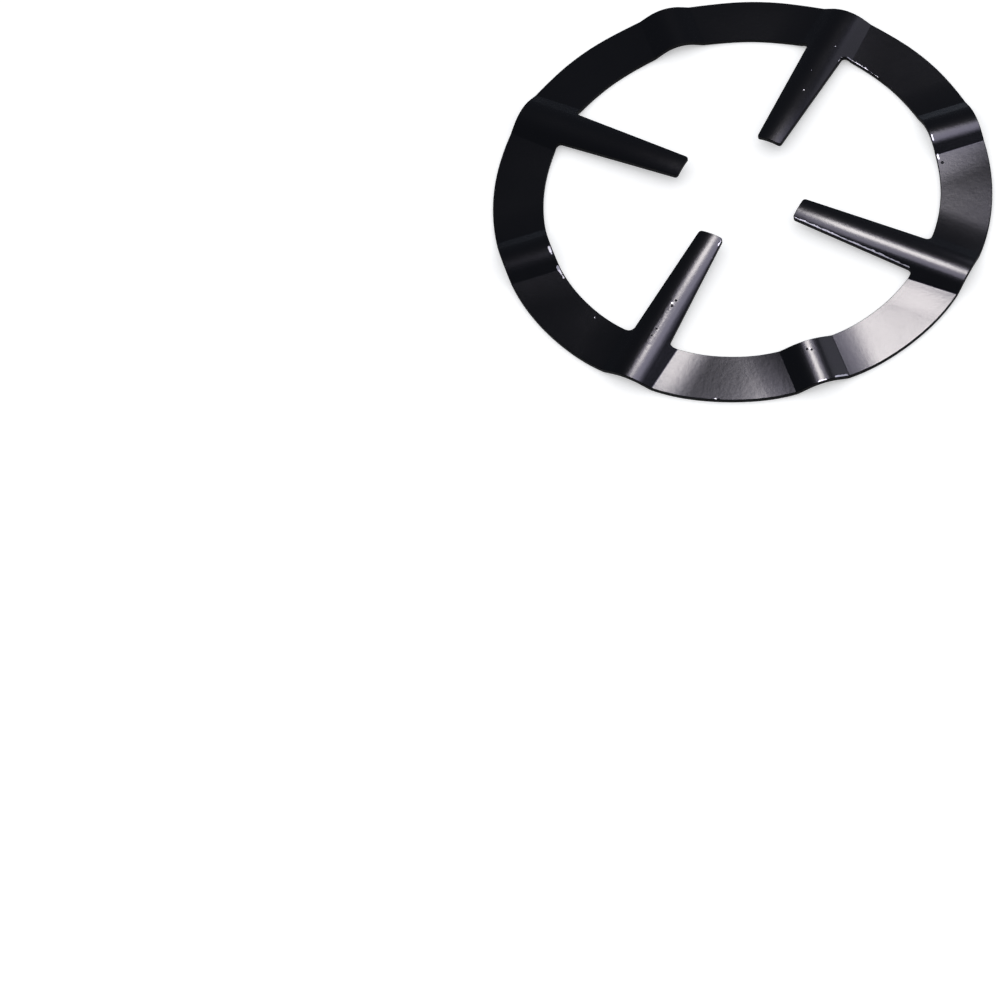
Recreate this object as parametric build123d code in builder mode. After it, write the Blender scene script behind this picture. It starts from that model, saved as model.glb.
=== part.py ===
from build123d import *
import os
from math import cos, radians, sin, tan

# Reducer ring for a gas hob: a flat steel ring that is laid on a pan support, so that it
# carries a pot too small for it. Four prongs reach in from the rim and hold the pot over
# the burner. The ring is cut from one sheet and pressed in one stroke. Each prong has a
# rounded ridge pressed along it, from its tip out through the rim, and shorter ridges
# stiffen the rim between the prongs.
# Millimetres. The origin is the centre of the ring, on the plane that it stands on.
# +Z is up and +X runs along one prong.

# Blank, as cut from the sheet. A prong's root width is measured at the opening's circle.
sheet = 1.25
outer_diameter = 140.0
rim_width = 14.3
prong_count = 4
prong_tip_circle = 36.0
prong_tip_width = 7.3
prong_root_width = 11.2
prong_root_fillet = 1.4
prong_tip_fillet = 0.9

# Ridges, as pressed. The crest radius is on the hollow side, the valley radius on the top.
# From the valley a shallow run-out leads down to the flat, which keeps its own width
# between two run-outs where the rim is narrowest, at the opening.
crest_radius = 12.0
flank_angle = 22.0
flank_length = 2.6
valley_radius = 1.2
runout_angle = 6.2
flat_width = 7.4

# Height that a prong's crest gains from the rim to the tip
prong_rise = 0.9

# Cut edges, softened by tumbling and by the enamel
edge_radius = 0.18

# A face this near to upright is a cut wall
upright = 0.001

outer_radius = outer_diameter / 2
opening_radius = outer_radius - rim_width
tip_radius = prong_tip_circle / 2
prong_taper = (prong_root_width - prong_tip_width) / (opening_radius - tip_radius)
rise_per_length = prong_rise / (outer_radius - tip_radius)
wedge_angle = 180 / prong_count
past_rim = outer_radius + sheet
steep = sin(radians(flank_angle))
shallow = sin(radians(runout_angle))


def prong_width(radius):
    """Width of a prong at a radius."""
    return prong_tip_width + prong_taper * (radius - tip_radius)


def prong_flank(radius):
    """Length of a prong ridge's flank, which grows as the crest climbs towards the tip."""
    return flank_length + rise_per_length * (outer_radius - radius) / steep


def ridge_half_width(flank):
    """Distance from a ridge's middle to the foot of its valley bend."""
    crest_half = crest_radius * steep
    valley = (valley_radius + sheet) * (steep - shallow)
    return crest_half + flank * cos(radians(flank_angle)) + valley


seam_half_width = opening_radius * sin(radians(wedge_angle / 2))
runout_length = seam_half_width - flat_width / 2 - ridge_half_width(flank_length)


def ridge_line(height, flank):
    """One face of the sheet, drawn across a ridge at a height above the underside.

    The run-outs and valleys curve upwards, so their radius shrinks from the underside to
    the top. The crest curves down over its hollow, so its radius grows.
    """
    runout = runout_length / shallow - height
    valley = valley_radius + sheet - height
    crest = crest_radius + height
    foot = ridge_half_width(flank) + runout_length
    bend = flank_angle - runout_angle
    flat_in = Line((-outer_radius, height), (-foot, height))
    runout_in = JernArc(flat_in @ 1, flat_in % 1, runout, runout_angle)
    valley_in = JernArc(runout_in @ 1, runout_in % 1, valley, bend)
    flank_up = PolarLine(valley_in @ 1, flank, direction=valley_in % 1)
    over = JernArc(flank_up @ 1, flank_up % 1, crest, -2 * flank_angle)
    flank_down = PolarLine(over @ 1, flank, direction=over % 1)
    valley_out = JernArc(flank_down @ 1, flank_down % 1, valley, bend)
    runout_out = JernArc(valley_out @ 1, valley_out % 1, runout, runout_angle)
    Line(runout_out @ 1, (outer_radius, height))


def ridge_section(radius, flank):
    """The sheet's section across a ridge along +X, at a radius."""
    with BuildSketch(Plane.YZ.offset(radius)) as section:
        with BuildLine():
            ridge_line(0, flank)
            ridge_line(sheet, flank)
            Line((-outer_radius, 0), (-outer_radius, sheet))
            Line((outer_radius, 0), (outer_radius, sheet))
        make_face()
    return section.sketch


# Outline of the blank: a ring with tapered prongs, their roots and tips rounded.
# A prong runs into the middle of the rim. Nearest the centre are the corners of its tip,
# and next come the corners at its root.
with BuildSketch() as blank:
    Circle(outer_radius)
    Circle(opening_radius, mode=Mode.SUBTRACT)
    rim_middle = outer_radius - rim_width / 2
    with BuildLine():
        Polyline(
            (tip_radius, -prong_tip_width / 2),
            (rim_middle, -prong_width(rim_middle) / 2),
            (rim_middle, prong_width(rim_middle) / 2),
            (tip_radius, prong_tip_width / 2),
            close=True,
        )
    prong = make_face(mode=Mode.PRIVATE)
    with PolarLocations(0, prong_count):
        add(prong)
    tips, roots = blank.vertices().group_by(SortBy.DISTANCE)[:2]
    fillet(roots, prong_root_fillet)
    fillet(tips, prong_tip_fillet)

# Share of the plan that belongs to one ridge: a wedge about +X
with BuildSketch() as wedge:
    with BuildLine():
        spread = past_rim * tan(radians(wedge_angle / 2))
        Polyline((0, 0), (past_rim, -spread), (past_rim, spread), close=True)
    make_face()

# Prong with its ridge and the rim beside it. The crest climbs, so the section changes
# steadily along the ridge.
with BuildPart() as prong_panel:
    sections = [ridge_section(radius, prong_flank(radius)) for radius in (0, past_rim)]
    loft(sections, ruled=True)
    extrude(wedge.sketch, amount=outer_radius, both=True, mode=Mode.INTERSECT)
    extrude(blank.sketch, amount=outer_radius, both=True, mode=Mode.INTERSECT)

# Rim ridge between two prongs, with the rim beside it. It is drawn along +X too, so the
# blank is turned under it.
with BuildPart() as rim_panel:
    extrude(ridge_section(0, flank_length), amount=past_rim)
    extrude(wedge.sketch, amount=outer_radius, both=True, mode=Mode.INTERSECT)
    turned = blank.sketch.rotate(Axis.Z, wedge_angle)
    extrude(turned, amount=outer_radius, both=True, mode=Mode.INTERSECT)

# The whole ring. Its panels meet in the flats halfway between the ridges.
with BuildPart() as reducer_ring:
    with PolarLocations(0, prong_count):
        add(prong_panel.part)
    with PolarLocations(0, prong_count, start_angle=wedge_angle):
        add(rim_panel.part)
    walls = reducer_ring.faces().filter_by(lambda face: abs(face.normal_at().Z) < upright)
    fillet(walls.edges().filter_by(Axis.Z, reverse=True), edge_radius)

reducer_ring.part.label = "reducer_ring"
print("overall size", reducer_ring.part.bounding_box().size)

os.makedirs("parts", exist_ok=True)
export_step(reducer_ring.part, "parts/reducer_ring.step")
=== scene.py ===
# %% [markdown]
# A reducer ring is laid on the pan support of a gas hob, and its prongs carry a pot that is
# too small for the support. It is one piece of sheet steel, blanked, pressed and enamelled
# black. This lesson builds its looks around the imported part, which gives the frame: metres,
# +Z up, the origin at the centre of the ring on the plane that it stands on, and +X along
# one prong. The part's own mesh is right in size but coarse in its curves, and a glossy
# black coat shows every facet, so the ring is modelled again here inside the same box.

# %% Load the part
import bmesh
import bpy
from math import atan2, cos, pi, radians, sin, sqrt
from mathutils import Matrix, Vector


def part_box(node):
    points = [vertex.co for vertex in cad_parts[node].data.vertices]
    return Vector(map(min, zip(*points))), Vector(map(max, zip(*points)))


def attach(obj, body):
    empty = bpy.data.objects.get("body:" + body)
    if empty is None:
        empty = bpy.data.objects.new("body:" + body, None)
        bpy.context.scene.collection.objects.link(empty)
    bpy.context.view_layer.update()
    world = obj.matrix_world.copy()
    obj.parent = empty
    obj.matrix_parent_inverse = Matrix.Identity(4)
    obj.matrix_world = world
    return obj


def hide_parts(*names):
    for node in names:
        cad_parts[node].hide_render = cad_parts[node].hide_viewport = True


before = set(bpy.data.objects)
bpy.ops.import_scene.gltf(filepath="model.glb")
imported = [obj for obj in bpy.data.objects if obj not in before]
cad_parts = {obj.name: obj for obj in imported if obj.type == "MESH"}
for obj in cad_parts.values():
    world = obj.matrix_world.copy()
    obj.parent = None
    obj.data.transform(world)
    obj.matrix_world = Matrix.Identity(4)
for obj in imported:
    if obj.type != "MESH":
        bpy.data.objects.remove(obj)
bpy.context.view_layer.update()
part_low, part_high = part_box("reducer_ring")
mm = 0.001
print("part, mm:", [round(edge / mm, 2) for edge in (*part_low, *part_high)])

# %% [markdown]
# The camera comes first, because everything after it is judged through it. It stands about a
# metre away and looks steeply down, with a long lens, so the ring is nearly as large at the
# back as at the front. It was set by laying the ring's outline over the photograph.

# %% Camera
image_width = 1002
focal_length_pixels = 3500
sensor_width = 36
camera_place = Vector((300.93, -521.55, 785.74)) * mm
camera_turn = (32.572, 6.081, 28.473)
nearest_seen = 10 * mm

camera_data = bpy.data.cameras.new("camera")
camera_data.sensor_width = sensor_width
camera_data.lens = focal_length_pixels * sensor_width / image_width
camera_data.clip_start = nearest_seen
camera = bpy.data.objects.new("camera", camera_data)
camera.location = camera_place
camera.rotation_euler = [radians(angle) for angle in camera_turn]
bpy.context.scene.collection.objects.link(camera)
bpy.context.scene.camera = camera
print("camera, mm from the ring's centre:", round(camera_place.length / mm))

# %% [markdown]
# The sheet has few driving sizes, and they are those of the pressed part. A ridge's section
# runs from the flat rim up a long shallow run-out, round a tight valley bend, up a straight
# flank and over a rounded crest. The crest radius is measured on the hollow side and the
# valley radius on the top, and the bends of the underside are larger by the sheet. A prong's
# crest climbs from the rim to the tip by what the part's height leaves over.

# %% Sizes of the blank and of a ridge's section
rim_radius = part_high.x
sheet = 1.25 * mm
rim_width = 14.3 * mm
opening_radius = rim_radius - rim_width
tip_radius = 18 * mm
prong_tip_width = 7.3 * mm
prong_root_width = 11.2 * mm
prong_root_fillet = 1.4 * mm
prong_tip_fillet = 0.9 * mm
prong_count = 4
wedge_angle = pi / prong_count

crest_radius = 12 * mm
flank_length = 2.6 * mm
flank_angle = radians(22)
valley_radius = 1.2 * mm
under_valley_radius = valley_radius + sheet
runout_angle = radians(6.2)
flat_width = 7.4 * mm
steep, shallow = sin(flank_angle), sin(runout_angle)


def ridge_half_width(flank):
    """Distance from a ridge's middle to the foot of its valley bend, on the underside."""
    return crest_radius * steep + flank * cos(flank_angle) + under_valley_radius * (steep - shallow)


seam_half_width = opening_radius * sin(wedge_angle / 2)
runout_length = seam_half_width - flat_width / 2 - ridge_half_width(flank_length)
under_runout_radius = runout_length / shallow
rim_ridge_height = (
    under_runout_radius * (1 - cos(runout_angle))
    + under_valley_radius * (cos(runout_angle) - cos(flank_angle))
    + flank_length * steep
    + crest_radius * (1 - cos(flank_angle))
)
prong_rise = part_high.z - sheet - rim_ridge_height
print("ridge half width, mm:", round(ridge_half_width(flank_length) / mm, 2))
print("run-out length, mm:", round(runout_length / mm, 2))
print("rise along a prong, mm:", round(prong_rise / mm, 3))

# %% [markdown]
# A section can be drawn by hand with one vertex: it is put down, extruded along each straight
# stretch and spun along each bend. These helpers are that pen. An operator acts on all that
# is selected, so each one starts by deselecting, and the pen is the one selected vertex.

# %% A pen made of one vertex
ALONG_X, ALONG_Z = (1, 0, 0), (0, 0, 1)


def new_mesh(name):
    """An empty mesh object at the origin, in edit mode."""
    bpy.ops.object.select_all(action="DESELECT")
    bpy.ops.mesh.primitive_plane_add(size=mm)
    bpy.context.object.name = name
    bpy.ops.object.mode_set(mode="EDIT")
    bpy.ops.mesh.delete(type="VERT")
    return bpy.context.object


def pen_down(place):
    """Starts a line: a small plane is added and merged to its centre."""
    bpy.ops.mesh.select_all(action="DESELECT")
    bpy.ops.mesh.primitive_plane_add(size=mm, location=place)
    bpy.ops.mesh.merge(type="CENTER")


def pen():
    """Where the pen is now."""
    mesh = bmesh.from_edit_mesh(bpy.context.object.data)
    return next(vertex.co.copy() for vertex in mesh.verts if vertex.select)


def run(offset):
    """Draws a straight stretch by an offset."""
    bpy.ops.mesh.extrude_region_move(TRANSFORM_OT_translate={"value": Vector(offset)})


def bend(centre, angle, axis, steps):
    """Draws an arc about a centre. Spin turns the other way round its axis."""
    bpy.ops.mesh.spin(steps=steps, angle=-angle, center=centre, axis=axis)


# %% [markdown]
# The underside of the sheet is drawn across a ridge, because the part's sizes are taken
# there. The bends get enough steps for a smooth gleam: about two degrees a step on the
# crest, which catches the light, and under one degree on the run-outs. The sheet is drawn
# past the rim and past the centre, and the odd number of steps leaves no line of vertices on
# the ridge's middle: cutting with booleans is sure only where no edges coincide.

# %% Line of the underside across a ridge
RUNOUT_STEPS = 8
VALLEY_STEPS = 8
CREST_STEPS = 25
past_rim = rim_radius + sheet
past_centre = -sheet


def uphill(slope):
    """Unit vector along a line that climbs towards +Y at a slope."""
    return Vector((0, cos(slope), sin(slope)))


def above(slope):
    """Unit vector that stands square on such a line."""
    return Vector((0, -sin(slope), cos(slope)))


def ridge_line(x, flank):
    """Draws the underside across a ridge along +X, from one side of the rim to the other."""
    turn = flank_angle - runout_angle
    flat = past_rim - ridge_half_width(flank) - runout_length
    pen_down((x, -past_rim, 0))
    run(flat * uphill(0))
    bend(pen() + under_runout_radius * above(0), runout_angle, ALONG_X, RUNOUT_STEPS)
    bend(pen() + under_valley_radius * above(runout_angle), turn, ALONG_X, VALLEY_STEPS)
    run(flank * uphill(flank_angle))
    bend(pen() - crest_radius * above(flank_angle), -2 * flank_angle, ALONG_X, CREST_STEPS)
    run(flank * uphill(-flank_angle))
    bend(pen() + under_valley_radius * above(-flank_angle), turn, ALONG_X, VALLEY_STEPS)
    bend(pen() + under_runout_radius * above(-runout_angle), runout_angle, ALONG_X, RUNOUT_STEPS)
    run(flat * uphill(0))


# %% [markdown]
# Two such lines, one near the centre and one past the rim, are bridged into a surface, and
# the Solidify modifier gives it the sheet's thickness, upwards. On a prong the crest climbs
# towards the tip, so its flank is longer near the centre. The face normals are turned up
# first, because Solidify grows along them.

# %% Pressed sheet with one ridge
def apply_modifier(piece, kind, **settings):
    """Adds a modifier to a piece and applies it."""
    bpy.ops.object.select_all(action="DESELECT")
    piece.select_set(True)
    bpy.context.view_layer.objects.active = piece
    modifier = piece.modifiers.new(kind.lower(), kind)
    for name, value in settings.items():
        setattr(modifier, name, value)
    bpy.ops.object.modifier_apply(modifier=modifier.name)


def pressed_sheet(name, flank_past_centre, flank_past_rim):
    """A panel of sheet with one ridge along +X, from past the centre to past the rim."""
    panel = new_mesh(name)
    ridge_line(past_centre, flank_past_centre)
    ridge_line(past_rim, flank_past_rim)
    bpy.ops.mesh.select_all(action="SELECT")
    bpy.ops.mesh.bridge_edge_loops()
    mesh = bmesh.from_edit_mesh(panel.data)
    if sum(face.normal.z for face in mesh.faces) < 0:
        bpy.ops.mesh.select_all(action="SELECT")
        bpy.ops.mesh.flip_normals()
    bpy.ops.object.mode_set(mode="OBJECT")
    apply_modifier(panel, "SOLIDIFY", thickness=sheet, offset=1, use_even_offset=True)
    print(name, "faces:", len(panel.data.polygons))
    return panel


def prong_flank(radius):
    """Length of a prong ridge's flank at a radius. The crest climbs towards the tip."""
    return flank_length + prong_rise * (rim_radius - radius) / (rim_radius - tip_radius) / steep


prong_panel = pressed_sheet("prong_panel", prong_flank(past_centre), prong_flank(past_rim))
rim_panel = pressed_sheet("rim_panel", flank_length, flank_length)

# %% [markdown]
# On the real part the blank is cut first and pressed after. In a model it is easier the other
# way round: the pressed sheet is trimmed by two upright cutters, so that every cut edge
# follows the ridges by itself. One cutter is the outside of the rim, and the other is the
# opening with its prongs. Half of one prong is drawn, from the middle of its tip round the
# tip and root corners to halfway along the opening, then mirrored and turned into four.

# %% Cutters for the blank
CUTTER_SIDES = 256
TIP_STEPS = 6
ROOT_STEPS = 8
OPENING_STEPS = 28
cutter_height = 20 * mm
cutter_floor = Vector((0, 0, -cutter_height / 2))
weld = 0.001 * mm

bpy.ops.object.select_all(action="DESELECT")
bpy.ops.mesh.primitive_cylinder_add(vertices=CUTTER_SIDES, radius=rim_radius, depth=cutter_height)
rim_cutter = bpy.context.object

side_slope = atan2((prong_root_width - prong_tip_width) / 2, opening_radius - tip_radius)
along_side = Vector((cos(side_slope), sin(side_slope), 0))
off_side = Vector((-sin(side_slope), cos(side_slope), 0))
tip_corner = Vector((tip_radius, prong_tip_width / 2, 0))
tip_trim = prong_tip_fillet * (1 - sin(side_slope)) / cos(side_slope)
tip_centre = tip_corner + Vector((prong_tip_fillet, -tip_trim, 0))

# The root fillet's centre lies one fillet radius off the prong's side and one fillet radius
# inside the opening's circle: the distance along the side solves a quadratic.
off_corner = tip_corner + prong_root_fillet * off_side
half_slope = off_corner.dot(along_side)
reach_squared = (opening_radius - prong_root_fillet) ** 2 - off_corner.length_squared
side_length = sqrt(half_slope**2 + reach_squared) - half_slope
root_centre = off_corner + side_length * along_side
round_opening = Vector((-root_centre.y, root_centre.x, 0))
print("prong side to its root fillet, mm:", round(side_length / mm, 2))

opening_cutter = new_mesh("opening_cutter")
pen_down(cutter_floor + Vector((tip_radius, 0, 0)))
run((0, tip_centre.y, 0))
bend(cutter_floor + tip_centre, side_slope - pi / 2, ALONG_Z, TIP_STEPS)
run(cutter_floor + tip_corner + side_length * along_side - pen())
bend(cutter_floor + root_centre, along_side.angle(round_opening), ALONG_Z, ROOT_STEPS)
bend(cutter_floor, wedge_angle - atan2(pen().y, pen().x), ALONG_Z, OPENING_STEPS)
bpy.ops.object.mode_set(mode="OBJECT")
apply_modifier(opening_cutter, "MIRROR", use_axis=(False, True, False), merge_threshold=weld)

# %% [markdown]
# Spin with its duplicate option copies what is selected round an axis, which turns one
# quarter of the opening into four, and later one panel into four. It is asked for the three
# other quarters. The closed outline is then filled and pulled up into a cutter.

# %% Four quarters
def turn_into_four():
    """Copies the selected quarter round the ring's axis."""
    others = prong_count - 1
    turn = -others * 2 * pi / prong_count
    bpy.ops.mesh.spin(steps=others, dupli=True, angle=turn, center=(0, 0, 0), axis=ALONG_Z)


bpy.ops.object.mode_set(mode="EDIT")
bpy.ops.mesh.select_all(action="SELECT")
turn_into_four()
bpy.ops.mesh.select_all(action="SELECT")
bpy.ops.mesh.remove_doubles(threshold=weld)
bpy.ops.mesh.edge_face_add()
bpy.ops.mesh.extrude_region_move(TRANSFORM_OT_translate={"value": (0, 0, cutter_height)})
bpy.ops.mesh.select_all(action="SELECT")
bpy.ops.mesh.normals_make_consistent(inside=False)
bpy.ops.object.mode_set(mode="OBJECT")
print("opening cutter faces:", len(opening_cutter.data.polygons))

# %% [markdown]
# Each panel is trimmed to the blank and bisected to its own eighth of the plan. The panel with
# the rim ridge was drawn along +X too, so the opening is turned under it for its cut, and the
# panel is turned to its place afterwards.

# %% Trim the panels
def trim(panel, turn):
    """Cuts a panel to the blank and to its wedge, turns it to its place and makes four."""
    opening_cutter.rotation_euler.z = turn
    bpy.context.view_layer.update()
    apply_modifier(panel, "BOOLEAN", operation="INTERSECT", solver="EXACT", object=rim_cutter)
    apply_modifier(panel, "BOOLEAN", operation="DIFFERENCE", solver="EXACT", object=opening_cutter)
    bpy.ops.object.mode_set(mode="EDIT")
    half = wedge_angle / 2
    for side in (1, -1):
        outward = (-sin(half), side * cos(half), 0)
        bpy.ops.mesh.select_all(action="SELECT")
        bpy.ops.mesh.bisect(plane_co=(0, 0, 0), plane_no=outward, clear_outer=True)
    bpy.ops.mesh.select_all(action="SELECT")
    bpy.ops.transform.rotate(value=turn, orient_axis="Z", center_override=(0, 0, 0))
    turn_into_four()
    bpy.ops.object.mode_set(mode="OBJECT")


trim(prong_panel, 0)
trim(rim_panel, wedge_angle)
for cutter in (rim_cutter, opening_cutter):
    bpy.data.objects.remove(cutter)

# %% [markdown]
# The eight panels meet in the flats between the ridges. They are joined and their doubled
# vertices merged, which closes the sheet. A closed mesh is worth checking before going on:
# it has no open edge, and its volume is that of the steel.

# %% Join the ring
def measure(piece):
    """Prints a piece's triangles, open edges and volume."""
    mesh = bmesh.new()
    mesh.from_mesh(piece.data)
    triangles = len(mesh.calc_loop_triangles())
    open_edges = sum(not edge.is_manifold for edge in mesh.edges)
    volume = round(mesh.calc_volume() / mm**3)
    print(piece.name, "triangles:", triangles, "open edges:", open_edges, "mm3:", volume)
    mesh.free()


bpy.ops.object.select_all(action="DESELECT")
rim_panel.select_set(True)
prong_panel.select_set(True)
bpy.context.view_layer.objects.active = prong_panel
bpy.ops.object.join()
ring = bpy.context.object
ring.name = "enamelled_ring"
bpy.ops.object.mode_set(mode="EDIT")
bpy.ops.mesh.select_all(action="SELECT")
bpy.ops.mesh.remove_doubles(threshold=2 * weld)
bpy.ops.mesh.select_all(action="SELECT")
bpy.ops.mesh.normals_make_consistent(inside=False)
bpy.ops.object.mode_set(mode="OBJECT")
measure(ring)

# %% [markdown]
# Tumbling and the enamel round the cut edges, and the dark rounded line along an edge is what
# tells the eye how thick the sheet is. The Bevel modifier rounds every edge sharper than half
# a right angle, which is the cut edges alone. It gives the new faces the second of two
# material slots, to be filled below. Smooth shading follows, and weighted normals keep the
# flats flat right up to the rounded edges.

# %% Round the cut edges and smooth
EDGE_STEPS = 3
TOP_SLOT, EDGE_SLOT = 0, 1
edge_radius = 0.18 * mm
cut_edge_angle = radians(45)
smooth_angle = radians(35)

for _ in (TOP_SLOT, EDGE_SLOT):
    ring.data.materials.append(None)
apply_modifier(
    ring,
    "BEVEL",
    width=edge_radius,
    segments=EDGE_STEPS,
    limit_method="ANGLE",
    angle_limit=cut_edge_angle,
    use_clamp_overlap=False,
    material=EDGE_SLOT,
)
bpy.ops.object.select_all(action="DESELECT")
ring.select_set(True)
bpy.context.view_layer.objects.active = ring
bpy.ops.object.shade_smooth_by_angle(angle=smooth_angle)
apply_modifier(ring, "WEIGHTED_NORMAL", keep_sharp=True)
measure(ring)

# %% [markdown]
# Vitreous enamel is glass powder fused onto steel. It is black all through and smooth, but
# not as flat as a mirror: the melt leaves a fine grain and a gentle orange peel. One small
# function adds a node with its settings and its inputs. What it is given as an input is a
# value, a socket or another node, and from a node it links the first output that is live.

# %% Helpers for materials
def linear(hex_colour):
    """An sRGB colour such as "#808080" as linear red, green, blue and alpha."""
    channels = [int(hex_colour[at : at + 2], 16) / 255 for at in (1, 3, 5)]
    return [c / 12.92 if c <= 0.04045 else ((c + 0.055) / 1.055) ** 2.4 for c in channels] + [1]


def new_material(name):
    """A material and its node tree, emptied."""
    material = bpy.data.materials.new(name)
    material.use_nodes = True
    material.node_tree.nodes.clear()
    return material, material.node_tree


def add_node(tree, kind, inputs=None, **settings):
    """Adds a node with its settings, and sets or links its inputs."""
    node = tree.nodes.new(kind)
    for name, value in settings.items():
        setattr(node, name, value)
    for name, value in (inputs or {}).items():
        if isinstance(value, bpy.types.Node):
            value = next(output for output in value.outputs if output.enabled)
        if isinstance(value, bpy.types.NodeSocket):
            tree.links.new(value, node.inputs[name])
        else:
            node.inputs[name].default_value = value
    return node


# %% [markdown]
# Black enamel: the base is nearly black, and all that the eye sees is the gloss, a soft
# reflection of lamps and room. Its surface has three scales: slow waves that pressing leaves
# in the sheet, about a degree steep, then orange peel, then a fine grain. The grain of the
# real coat is finer still, and it is drawn just coarse enough to show. Each wave has its
# length, the angle in the plan that it runs towards, its phase and its height.

# %% Surface of the enamel
PRESSING_WAVES = (
    (50.2 * mm, radians(102.7), radians(270.5), 0.167 * mm),
    (50.1 * mm, radians(191.9), radians(267.7), 0.149 * mm),
)
peel_size, peel_height = 2.5 * mm, 0.01 * mm
grain_size, grain_height = 0.9 * mm, 0.008 * mm
grain_detail = 1.0

enamel, coat = new_material("black_vitreous_enamel")
coordinates = add_node(coat, "ShaderNodeTexCoord").outputs
place = coordinates["Object"]

reliefs = []
for length, towards, phase, height in PRESSING_WAVES:
    across = 2 * pi / length * Vector((cos(towards), sin(towards), 0))
    along = add_node(coat, "ShaderNodeVectorMath", {0: place, 1: across}, operation="DOT_PRODUCT")
    moved = add_node(coat, "ShaderNodeMath", {0: along, 1: phase}, operation="ADD")
    wave = add_node(coat, "ShaderNodeMath", {0: moved}, operation="SINE")
    reliefs.append((wave, height))

peel = add_node(coat, "ShaderNodeTexNoise", {"Vector": place, "Scale": 1 / peel_size})
grain_inputs = {"Vector": place, "Scale": 1 / grain_size, "Detail": grain_detail}
grain = add_node(coat, "ShaderNodeTexNoise", grain_inputs)
reliefs.append((peel, peel_height))
reliefs.append((grain, grain_height))
print("reliefs of the sound coat:", len(reliefs))

# %% [markdown]
# Enamel is glass, so it chips where the ring is knocked: along edges that stand proud and on
# the crests, which the pots rub. The photograph shows where. Places are in the plan, in
# millimetres. A worn edge is a line between two points, with how far the steel shows on each
# side of it. A pit is a small crater in the coat, and a chip is a spot where the steel shows,
# each with its radius.

# %% Places where the coat is worn
WORN_EDGES = (
    # Front side of the prong along +X, from tip to root
    ((18.6, -3.6), (53.9, -5.45), 0.42),
    # Root of the prong along +Y, and the opening's edge beside it
    ((5.45, 52.8), (5.75, 54.2), 0.35),
    ((5.75, 54.2), (6.9, 55.25), 0.42),
    ((6.9, 55.25), (12.5, 54.3), 0.42),
    ((12.5, 54.3), (17.2, 53.0), 0.28),
    ((17.2, 53.0), (22.65, 50.9), 0.16),
    # Opening's edge at the rim ridge between -X and -Y
    ((-39.7, -40.1), (-38.1, -41.7), 0.3),
    ((-34.8, -44.3), (-33.2, -45.5), 0.3),
    ((-33.2, -45.5), (-31.8, -46.4), 0.15),
    # Rim's outer edge at the ridge between +X and -Y
    ((48.6, -50.2), (49.9, -48.9), 0.35),
    ((52.2, -46.4), (54.0, -44.4), 0.6),
    # Side of the prong along -Y, near its tip
    ((3.6, -18.3), (3.75, -20.5), 0.22),
    ((3.9, -23.5), (4.0, -25.0), 0.18),
    # Opening's edge at the rim ridge between +X and +Y
    ((40.9, 38.4), (42.1, 37.1), 0.14),
    ((44.7, 34.2), (45.6, 33.0), 0.16),
)
PITS = (
    # Crest of the prong along -Y
    (1.25, -42.2, 0.42),
    (1.1, -44.3, 0.42),
    (0.6, -52.8, 0.4),
    (0.45, -55.3, 0.35),
    # Crest of the rim ridge between +X and -Y
    (40.9, -41.9, 0.4),
    (42.15, -41.5, 0.4),
    # Rim, beside the opening and at its outer edge
    (47.0, 32.35, 0.5),
    (25.6, -65.2, 0.55),
)
CHIPS = (
    # Crests of the prong along -Y and of the rim ridge between +X and -Y
    (0.7, -43.4, 0.3),
    (41.55, -41.5, 0.22),
    # Rim, at its outer edge and beside the opening
    (24.7, -65.2, 0.28),
    (-17.8, -54.75, 0.16),
    # Ridge of the prong along +Y
    (1.2, 38.35, 0.17),
    (0.05, 45.75, 0.09),
    (2.4, 56.7, 0.12),
)
print("worn edges, pits and chips:", len(WORN_EDGES), len(PITS), len(CHIPS))

# %% [markdown]
# The material finds these places by distance. For a line, the share of the way along it that
# lies nearest is a dot product, clamped to stay between the two ends. The least distance of
# all then says how far the coat is from any worn place, below zero inside one.

# %% Distances from the worn places
plan = add_node(coat, "ShaderNodeVectorMath", {0: place, 1: (1, 1, 0)}, operation="MULTIPLY")


def beside_line(start, end):
    """Distance in the plan from a line between two points, in metres."""
    start = Vector((*start, 0)) * mm
    line = Vector((*end, 0)) * mm - start
    share_per_metre = line / line.length_squared
    offset = add_node(coat, "ShaderNodeVectorMath", {0: plan, 1: start}, operation="SUBTRACT")
    operands = {0: offset, 1: share_per_metre}
    share = add_node(coat, "ShaderNodeVectorMath", operands, operation="DOT_PRODUCT")
    share = add_node(coat, "ShaderNodeClamp", {"Value": share})
    nearest = add_node(coat, "ShaderNodeVectorMath", {0: line, "Scale": share}, operation="SCALE")
    return add_node(coat, "ShaderNodeVectorMath", {0: offset, 1: nearest}, operation="DISTANCE")


def beside_spot(x, y):
    """Distance in the plan from a spot, in metres."""
    spot = Vector((x, y, 0)) * mm
    return add_node(coat, "ShaderNodeVectorMath", {0: plan, 1: spot}, operation="DISTANCE")


def least_of(distances):
    """The least of some distances, each less the size of its place in millimetres."""
    least = None
    for distance, size in distances:
        past = add_node(coat, "ShaderNodeMath", {0: distance, 1: size * mm}, operation="SUBTRACT")
        if least is not None:
            past = add_node(coat, "ShaderNodeMath", {0: least, 1: past}, operation="MINIMUM")
        least = past
    return least


from_edges = least_of([(beside_line(start, end), width) for start, end, width in WORN_EDGES])
from_chips = least_of([(beside_spot(x, y), radius) for x, y, radius in CHIPS])
from_pits = least_of([(beside_spot(x, y), radius) for x, y, radius in PITS])
print("nodes so far:", len(coat.nodes))

# %% [markdown]
# A chipped edge is ragged, so noise moves its border to and fro, while a chip of its own is
# round. Between sound coat and bare steel the change is short, and a pit's wall takes up most
# of its radius. All of it is on the top, where the surface faces up: the underside has none.

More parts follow.
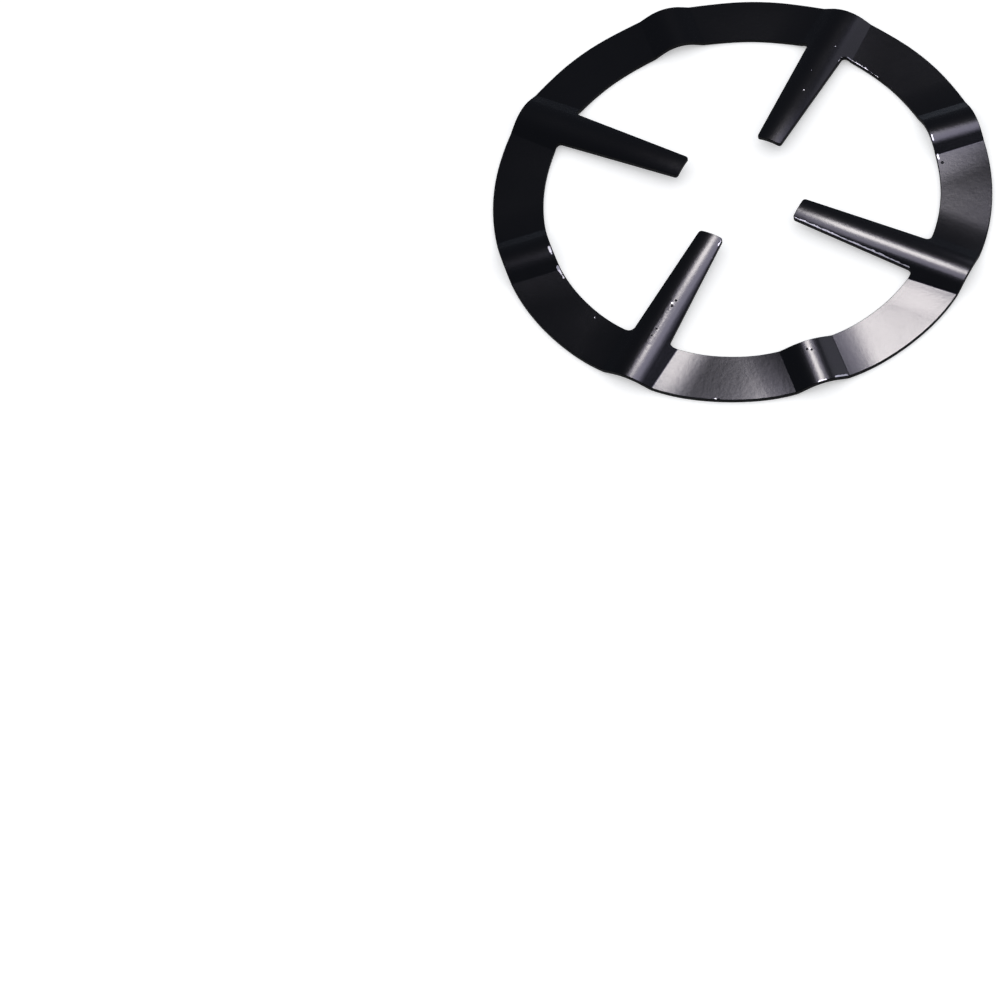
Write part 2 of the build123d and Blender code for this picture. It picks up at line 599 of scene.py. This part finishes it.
# %% Masks of bare steel and of pits
ragged = 0.5 * mm
fray_size = 1.5 * mm
fray_detail = 3.0
border = 0.05 * mm
pit_wall = 0.35 * mm

fray_inputs = {"Vector": place, "Scale": 1 / fray_size, "Detail": fray_detail}
fray = add_node(coat, "ShaderNodeTexNoise", fray_inputs)
fray = add_node(coat, "ShaderNodeMapRange", {"Value": fray, "To Min": -ragged, "To Max": ragged})
from_frayed = add_node(coat, "ShaderNodeMath", {0: from_edges, 1: fray}, operation="ADD")
from_steel = add_node(coat, "ShaderNodeMath", {0: from_frayed, 1: from_chips}, operation="MINIMUM")

tilt = add_node(coat, "ShaderNodeSeparateXYZ", {"Vector": coordinates["Normal"]}).outputs["Z"]
on_top = add_node(coat, "ShaderNodeMath", {0: tilt, 1: 0}, operation="GREATER_THAN")
worn = add_node(
    coat,
    "ShaderNodeMapRange",
    {"Value": from_steel, "From Min": -border, "From Max": border, "To Min": on_top, "To Max": 0},
    interpolation_type="SMOOTHSTEP",
)
pitted = add_node(
    coat,
    "ShaderNodeMapRange",
    {"Value": from_pits, "From Min": -pit_wall, "From Max": 0, "To Min": on_top, "To Max": 0},
    interpolation_type="SMOOTHSTEP",
)

# %% [markdown]
# The crest of the prong along -Y is rubbed rough, most along its middle. All the reliefs then
# turn the surface's normal one after the other, each by a Bump node in real millimetres, and
# a relief of negative height goes into the surface.

# %% Reliefs as bump
rub_start, rub_end = (0.7, -43.0), (0.5, -57.0)
rub_middle, rub_reach = 0.5 * mm, 1.4 * mm
rub_grit, rub_height = 1.0 * mm, 0.035 * mm
pit_depth = 0.12 * mm

grit = add_node(coat, "ShaderNodeTexNoise", {"Vector": place, "Scale": 1 / rub_grit})
from_rub = beside_line(rub_start, rub_end)
rubbed = add_node(
    coat,
    "ShaderNodeMapRange",
    {"Value": from_rub, "From Min": rub_middle, "From Max": rub_reach, "To Min": grit, "To Max": 0},
    interpolation_type="SMOOTHSTEP",
)
reliefs.append((rubbed, rub_height))
reliefs.append((pitted, -pit_depth))

normal = None
for pattern, height in reliefs:
    inputs = {"Height": pattern, "Distance": abs(height), "Strength": 1.0}
    if normal is not None:
        inputs["Normal"] = normal
    normal = add_node(coat, "ShaderNodeBump", inputs, invert=height < 0)
print("reliefs with the wear:", len(reliefs))

# %% [markdown]
# The coat is glass, with glass's index of refraction, and its roughness drifts in faint
# clouds. In a pit it is rough. Where it is chipped, the material turns into plain steel.

# %% Finished enamel
black_glass = "#08080b"
bare_steel = "#dcdcde"
glass_ior = 1.5
cloud_size = 8 * mm
clear_roughness, clouded_roughness = 0.175, 0.205
pit_roughness = 0.6
steel_roughness = 0.42

clouds = add_node(coat, "ShaderNodeTexNoise", {"Vector": place, "Scale": 1 / cloud_size})
inputs = {"Value": clouds, "To Min": clear_roughness, "To Max": clouded_roughness}
roughness = add_node(coat, "ShaderNodeMapRange", inputs)
for mask, rough in ((pitted, pit_roughness), (worn, steel_roughness)):
    inputs = {"Value": mask, "To Min": roughness, "To Max": rough}
    roughness = add_node(coat, "ShaderNodeMapRange", inputs)
colours = {"Factor": worn, "A": linear(black_glass), "B": linear(bare_steel)}
colour = add_node(coat, "ShaderNodeMix", colours, data_type="RGBA")
shader = add_node(
    coat,
    "ShaderNodeBsdfPrincipled",
    {
        "Base Color": colour,
        "Metallic": worn,
        "Roughness": roughness,
        "IOR": glass_ior,
        "Normal": normal,
    },
)
add_node(coat, "ShaderNodeOutputMaterial", {"Surface": shader})
print(enamel.name, "nodes:", len(coat.nodes))

# %% [markdown]
# On the cut edges the melt drew back, and the thin coat there is dull. It is a second material
# on the rounded edges and on the faces that stand steeper than any ridge's flank.

# %% Cut edges
steepest_top = 0.8
thin_roughness = 0.6
thin_gloss = 0.15

thin_enamel, tree = new_material("thin_dull_black_enamel")
shader = add_node(
    tree,
    "ShaderNodeBsdfPrincipled",
    {
        "Base Color": linear(black_glass),
        "Roughness": thin_roughness,
        "IOR": glass_ior,
        "Specular IOR Level": thin_gloss,
    },
)
add_node(tree, "ShaderNodeOutputMaterial", {"Surface": shader})

ring.data.materials[TOP_SLOT] = enamel
ring.data.materials[EDGE_SLOT] = thin_enamel
for face in ring.data.polygons:
    if abs(face.normal.z) < steepest_top:
        face.material_index = EDGE_SLOT
print("cut edge faces:", sum(face.material_index == EDGE_SLOT for face in ring.data.polygons))

# %% [markdown]
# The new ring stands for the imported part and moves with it.

# %% Put the ring on the frame
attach(ring, "root")
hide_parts("reducer_ring")

# %% [markdown]
# The floor is plain white paper. Seen by the camera, it gives off part of its white by itself,
# which keeps the ring's shadow as light and narrow as in the photograph. It lies a hair under
# the ring, because two faces in one plane would flicker where the underside rests on it.

# %% Floor
floor_size = 6.0
floor_glow = 0.34
floor_gap = 0.02 * mm
paper_white = "#eeeeee"
pure_white = "#ffffff"

bpy.ops.object.select_all(action="DESELECT")
bpy.ops.mesh.primitive_plane_add(size=floor_size)
floor = bpy.context.object
floor.name = "floor"
floor.location.z = -floor_gap
paper, tree = new_material("white_paper")
ray = add_node(tree, "ShaderNodeLightPath").outputs
plain = add_node(tree, "ShaderNodeBsdfDiffuse", {"Color": linear(paper_white)})
glow = add_node(tree, "ShaderNodeEmission", {"Color": linear(pure_white), "Strength": floor_glow})
glowing = add_node(tree, "ShaderNodeAddShader", {0: plain, 1: glow})
seen = add_node(tree, "ShaderNodeMixShader", {0: ray["Is Camera Ray"], 1: plain, 2: glowing})
add_node(tree, "ShaderNodeOutputMaterial", {"Surface": seen})
floor.data.materials.append(paper)

# %% [markdown]
# Black enamel is lit by what it reflects, so the ring and the floor want different lamps, and
# Blender lets a lamp light only what is in its collection. A small soft lamp over the back of
# the ring throws its image on the front right of the rim and along the crests, and a wider,
# weaker one beside it is its halo. Two faint lamps, one high at the back right and one low
# behind, grey the flanks that face them. The coat's greys are a little violet, so the weaker
# lamps are too. The floor has a wide panel of its own.

# %% Lamps
def lit_group(name, piece):
    """A collection that limits a lamp to one piece."""
    group = bpy.data.collections.new(name)
    group.objects.link(piece)
    return group


def lamp(name, place, size, radiance, colour, group):
    """A round area lamp that points at the ring, placed in mm. Its watts follow from its radiance."""
    data = bpy.data.lights.new(name, "AREA")
    data.shape = "DISK"
    data.size = size * mm
    data.energy = radiance * pi * pi * (data.size / 2) ** 2
    data.color = linear(colour)[:3]
    light = bpy.data.objects.new(name, data)
    light.location = Vector(place) * mm
    light.rotation_euler = (-light.location).to_track_quat("-Z", "Y").to_euler()
    light.visible_camera = False
    light.light_linking.receiver_collection = group
    bpy.context.scene.collection.objects.link(light)
    print(name, "watts:", round(data.energy, 2))


on_ring = lit_group("on_ring", ring)
on_floor = lit_group("on_floor", floor)
lamp("key_lamp", (-47, 157, 332), size=64, radiance=23.5, colour="#fff9f5", group=on_ring)
lamp("key_halo", (-6, 110, 299), size=168, radiance=4.4, colour="#eae5ff", group=on_ring)
lamp("side_lamp", (109, 284, 632), size=306, radiance=1.05, colour="#dedbff", group=on_ring)
lamp("low_lamp", (62, 214, 138), size=122, radiance=0.9, colour="#eceaff", group=on_ring)
lamp("floor_lamp", (0, 0, 500), size=3000, radiance=0.9, colour=pure_white, group=on_floor)

# %% [markdown]
# The room is pale round the horizon and dim above, which keeps the rest of the coat black.

# %% Room
room_colour = "#dce8ff"
room_pale, room_dim = 1.0, 0.11
pale_to, dim_from = 0.03, 0.12

room = bpy.data.worlds.new("room")
room.use_nodes = True
tree = room.node_tree
tree.nodes.clear()
direction = add_node(tree, "ShaderNodeTexCoord").outputs["Generated"]
height = add_node(tree, "ShaderNodeSeparateXYZ", {"Vector": direction}).outputs["Z"]
strength = add_node(
    tree,
    "ShaderNodeMapRange",
    {"Value": height, "From Min": pale_to, "From Max": dim_from, "To Min": room_pale, "To Max": room_dim},
    interpolation_type="SMOOTHSTEP",
)
background = add_node(tree, "ShaderNodeBackground", {"Color": linear(room_colour), "Strength": strength})
add_node(tree, "ShaderNodeOutputWorld", {"Surface": background})
bpy.context.scene.world = room
bpy.context.scene.view_settings.view_transform = "Standard"
print("room strength at the horizon and above:", room_pale, room_dim)
